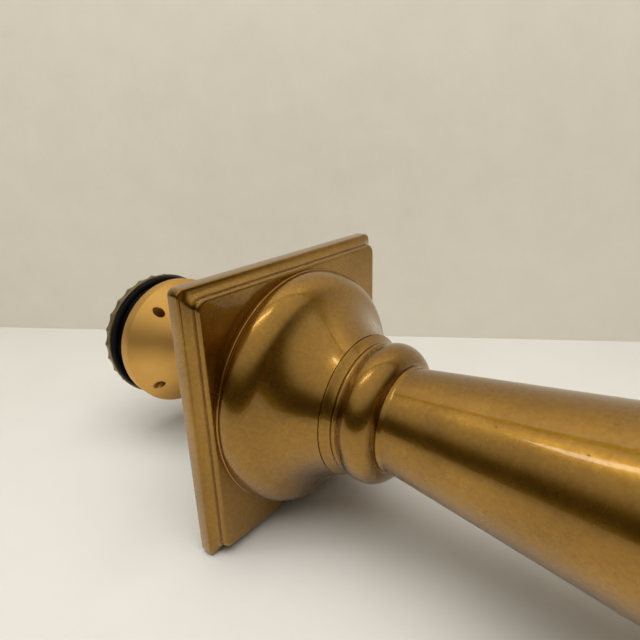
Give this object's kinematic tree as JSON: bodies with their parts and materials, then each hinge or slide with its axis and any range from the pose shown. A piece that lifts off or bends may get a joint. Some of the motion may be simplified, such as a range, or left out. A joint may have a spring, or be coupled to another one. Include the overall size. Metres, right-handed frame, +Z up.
{
  "type": "deck bollard post",
  "caption": "Brass deck bollard: moulded square base, bell, beads, flared column, mushroom head, and a conical clamp nut with a lock ring below deck.",
  "frame": {"origin": "where the post's axis meets the underside of the base plate, the deck's surface", "axes": "+Z up the post towards its head; +X and +Y square to the base plate's sides"},
  "size_m": [0.176, 0.176, 0.482],
  "materials": {
    "aged_brass": "aged and lacquered, polished",
    "aged_brass_turned": "aged and lacquered, turned and polished",
    "ring_brass": "dull grey-brown, worn on the crests",
    "satin_bronze": "satin, fine grain",
    "black_thread": "black oxide",
    "black_rubber": "matt black",
    "steel": "plated, turned",
    "aluminium": "as turned"
  },
  "bodies": {
    "post": {"base_plate": "aged_brass", "deck_gasket": "black_rubber", "bell": "aged_brass", "lower_bead": "aged_brass_turned", "upper_bead": "aged_brass_turned", "torus_collar": "aged_brass_turned", "neck_spool": "aluminium", "column": "aged_brass_turned", "foot_disc": "aluminium", "top_disc": "aluminium", "head_ring": "aged_brass_turned", "head": "aged_brass", "crown_cap": "aged_brass", "finial": "aged_brass_turned", "stem": "black_thread", "retaining_ring": "steel", "top_washer": "steel", "top_nut": "steel", "flange_screws": "steel", "bell_screws": "steel", "dowels": "steel"},
    "nut_carrier": {"thrust_washer": "steel"},
    "clamp_nut": {"clamp_cone": "satin_bronze", "grub_screws": "black_thread", "barrel": "black_thread", "barrel_screws": "steel"},
    "ring_carrier": {"rubber_ring": "black_rubber"},
    "lock_ring": {"lock_ring": "ring_brass"}
  },
  "joints": [
    {"name": "nut_travel", "type": "slide", "parent": "post", "child": "nut_carrier", "axis": [0, 0, 1], "range_m": [-0.006, 0.069]},
    {"name": "nut_turn", "type": "hinge", "parent": "nut_carrier", "child": "clamp_nut", "pos_m": [0, 0, -0.1], "axis": [0, 0, 1], "range_deg": [-720, 8280]},
    {"name": "ring_travel", "type": "slide", "parent": "clamp_nut", "child": "ring_carrier", "axis": [0, 0, 1], "range_m": [-0.0015, 0.0102]},
    {"name": "ring_turn", "type": "hinge", "parent": "ring_carrier", "child": "lock_ring", "pos_m": [0, 0, -0.1345], "axis": [0, 0, 1], "range_deg": [-180, 1224]}
  ],
  "couplings": [
    {"joint": "nut_travel", "follows": "nut_turn", "m_per_rad": 0.00047746},
    {"joint": "ring_travel", "follows": "ring_turn", "m_per_rad": 0.00047746}
  ]
}
